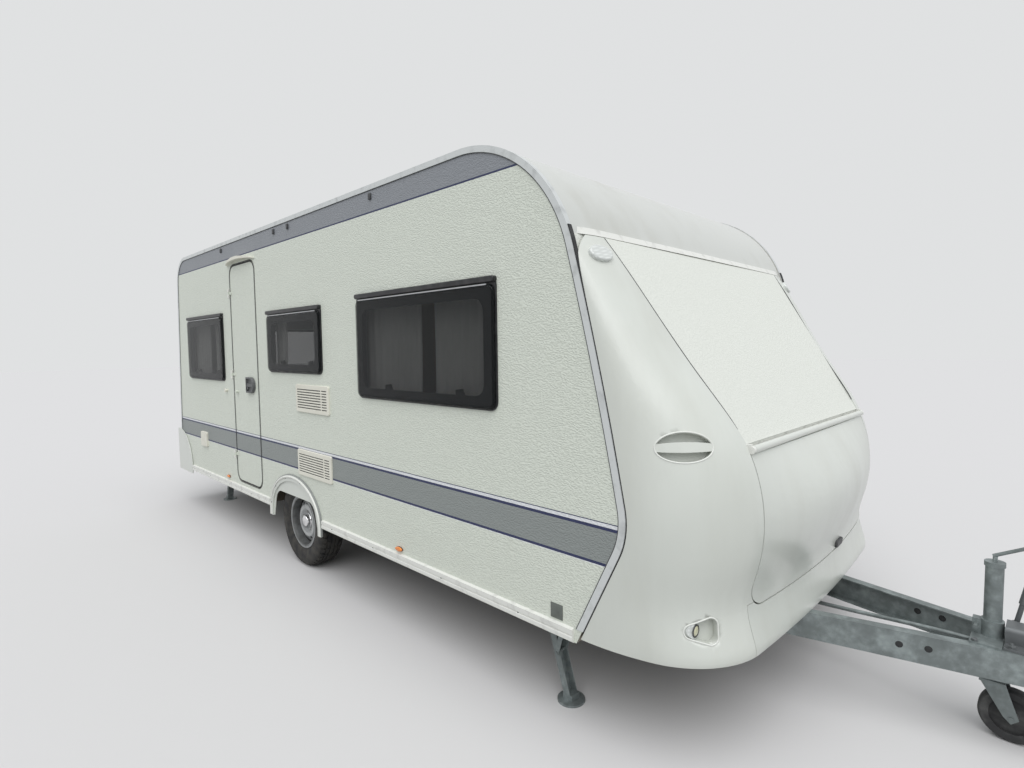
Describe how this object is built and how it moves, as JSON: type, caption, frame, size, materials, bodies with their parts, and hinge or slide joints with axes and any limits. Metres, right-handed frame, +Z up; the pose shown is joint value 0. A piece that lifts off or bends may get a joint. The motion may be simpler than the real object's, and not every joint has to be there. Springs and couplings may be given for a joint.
{
  "type": "travel caravan",
  "caption": "Single-axle travel caravan with a hollow cabin, moulded nose with a gas locker, hinged doors and roof hatches, A-frame drawbar, jockey wheel and corner steadies.",
  "frame": {"origin": "on the ground below the middle of the whole trailer, from the rear skirt to the coupling's nose", "axes": "+X forward to the coupling, +Y to the left side, +Z up"},
  "size_m": [7.18, 2.3779, 2.581],
  "materials": {
    "wall_skin": "fine hammered stucco, satin",
    "grp_white": "satin moulded gel coat",
    "trim_white": "painted aluminium profile",
    "black_frame": "moulded rubbery plastic",
    "tinted_acrylic": "dark tinted acrylic",
    "cream_plastic": "moulded plastic, slightly yellowed",
    "galvanised": "hot dip galvanised, mottled",
    "cast_steel": "cast and painted",
    "dark_plastic": "dark grey plastic",
    "tyre": "worn road tyre",
    "rim_silver": "silver lacquer",
    "rubber": "solid rubber",
    "amber_lens": "moulded lens",
    "clear_lens": "clear ribbed lens",
    "red_lens": "moulded lens",
    "plywood": "faced plywood",
    "floor_ply": "coated plywood",
    "upholstery": "woven cloth",
    "net_curtain": "pleated net"
  },
  "bodies": {
    "root": {"wall_right": "wall_skin", "wall_left": "wall_skin", "roof": "grp_white", "rear_wall": "wall_skin", "front_wall": "wall_skin", "floor": "floor_ply", "edge_rails": "trim_white", "sill_trims": "trim_white", "arch_covers": "grp_white", "window_frames": "black_frame", "window_panes": "tinted_acrylic", "wall_fittings": "cream_plastic", "chassis_rails": "galvanised", "drawbar": "galvanised", "axle": "galvanised", "coupling": "cast_steel", "handbrake": "cast_steel", "jockey_clamp": "galvanised", "jockey_tube": "galvanised", "steady_mounts": "galvanised", "front_panel": "wall_skin", "nose_gasket": "rubber", "nose_corner_right": "grp_white", "nose_corner_left": "grp_white", "nose_apron": "grp_white", "front_trims": "trim_white", "door_hinges": "trim_white", "hatch_frames": "cream_plastic", "marker_lamps": "amber_lens", "front_lamps": "clear_lens", "rear_skirt": "grp_white", "rear_lamps": "red_lens", "seat_bases": "plywood", "seat_cushions": "upholstery", "kitchen_unit": "plywood", "washroom": "plywood", "curtains": "net_curtain", "curtain_rods": "trim_white"},
    "wheel_right": {"tyre_right": "tyre", "rim_right": "rim_silver"},
    "wheel_left": {"tyre_left": "tyre", "rim_left": "rim_silver"},
    "entrance_door": {"entrance_door": "wall_skin", "door_handle": "dark_plastic"},
    "gas_lid": {"gas_lid": "grp_white", "lid_latch": "dark_plastic"},
    "service_door": {"service_door": "wall_skin"},
    "hatch_lid_front": {"hatch_lid_front": "cream_plastic"},
    "hatch_lid_rear": {"hatch_lid_rear": "cream_plastic"},
    "jockey_stem": {"jockey_stem": "galvanised"},
    "jockey_fork": {"jockey_fork": "galvanised"},
    "jockey_wheel": {"jockey_wheel": "rubber"},
    "leg_front_right": {"leg_front_right": "galvanised"},
    "strut_front_right": {"strut_front_right": "galvanised"},
    "leg_front_left": {"leg_front_left": "galvanised"},
    "strut_front_left": {"strut_front_left": "galvanised"},
    "leg_rear_right": {"leg_rear_right": "galvanised"},
    "strut_rear_right": {"strut_rear_right": "galvanised"},
    "leg_rear_left": {"leg_rear_left": "galvanised"},
    "strut_rear_left": {"strut_rear_left": "galvanised"}
  },
  "joints": [
    {"name": "wheel_right_spin", "type": "hinge", "parent": "root", "child": "wheel_right", "pos_m": [-0.84, -1.022, 0.325], "axis": [0, 1, 0], "continuous": true},
    {"name": "wheel_left_spin", "type": "hinge", "parent": "root", "child": "wheel_left", "pos_m": [-0.84, 1.022, 0.325], "axis": [0, 1, 0], "continuous": true},
    {"name": "entrance_door_hinge", "type": "hinge", "parent": "root", "child": "entrance_door", "pos_m": [-1.946, -1.166, 1.4], "axis": [0, 0, -1], "range_deg": [0, 170]},
    {"name": "gas_lid_hinge", "type": "hinge", "parent": "root", "child": "gas_lid", "pos_m": [2.29003, 0, 1.185], "axis": [0, -1, 0], "range_deg": [0, 85]},
    {"name": "service_door_hinge", "type": "hinge", "parent": "root", "child": "service_door", "pos_m": [-1.277, 1.166, 0.94], "axis": [0, 0, 1], "range_deg": [0, 120]},
    {"name": "hatch_front_hinge", "type": "hinge", "parent": "root", "child": "hatch_lid_front", "pos_m": [0.15, 0, 2.535], "axis": [0, 1, 0], "range_deg": [0, 60]},
    {"name": "hatch_rear_hinge", "type": "hinge", "parent": "root", "child": "hatch_lid_rear", "pos_m": [-2.05, 0, 2.535], "axis": [0, 1, 0], "range_deg": [0, 60]},
    {"name": "jockey_slide", "type": "slide", "parent": "root", "child": "jockey_stem", "axis": [0, 0, 1], "range_m": [-0.1, 0.06]},
    {"name": "jockey_swivel", "type": "hinge", "parent": "jockey_stem", "child": "jockey_fork", "pos_m": [2.95, 0, 0.2], "axis": [0, 0, 1], "continuous": true},
    {"name": "jockey_wheel_spin", "type": "hinge", "parent": "jockey_fork", "child": "jockey_wheel", "pos_m": [3.02, 0, 0.105], "axis": [0, 1, 0], "continuous": true},
    {"name": "steady_front_right", "type": "hinge", "parent": "root", "child": "leg_front_right", "pos_m": [1.49, -1, 0.352], "axis": [0, -1, 0], "range_deg": [0, 66]},
    {"name": "strut_front_right_pivot", "type": "hinge", "parent": "leg_front_right", "child": "strut_front_right", "pos_m": [1.53386, -1, 0.20855], "axis": [0, -1, 0], "range_deg": [-132, 0]},
    {"name": "steady_front_left", "type": "hinge", "parent": "root", "child": "leg_front_left", "pos_m": [1.49, 1, 0.352], "axis": [0, -1, 0], "range_deg": [0, 66]},
    {"name": "strut_front_left_pivot", "type": "hinge", "parent": "leg_front_left", "child": "strut_front_left", "pos_m": [1.53386, 1, 0.20855], "axis": [0, -1, 0], "range_deg": [-132, 0]},
    {"name": "steady_rear_right", "type": "hinge", "parent": "root", "child": "leg_rear_right", "pos_m": [-3.108, -0.805, 0.352], "axis": [0, 1, 0], "range_deg": [0, 66]},
    {"name": "strut_rear_right_pivot", "type": "hinge", "parent": "leg_rear_right", "child": "strut_rear_right", "pos_m": [-3.15186, -0.805, 0.20855], "axis": [0, 1, 0], "range_deg": [-132, 0]},
    {"name": "steady_rear_left", "type": "hinge", "parent": "root", "child": "leg_rear_left", "pos_m": [-3.108, 0.805, 0.352], "axis": [0, 1, 0], "range_deg": [0, 66]},
    {"name": "strut_rear_left_pivot", "type": "hinge", "parent": "leg_rear_left", "child": "strut_rear_left", "pos_m": [-3.15186, 0.805, 0.20855], "axis": [0, 1, 0], "range_deg": [-132, 0]}
  ],
  "couplings": [
    {"joint": "strut_front_right_pivot", "follows": "steady_front_right", "ratio": -2},
    {"joint": "strut_front_left_pivot", "follows": "steady_front_left", "ratio": -2},
    {"joint": "strut_rear_right_pivot", "follows": "steady_rear_right", "ratio": -2},
    {"joint": "strut_rear_left_pivot", "follows": "steady_rear_left", "ratio": -2}
  ]
}
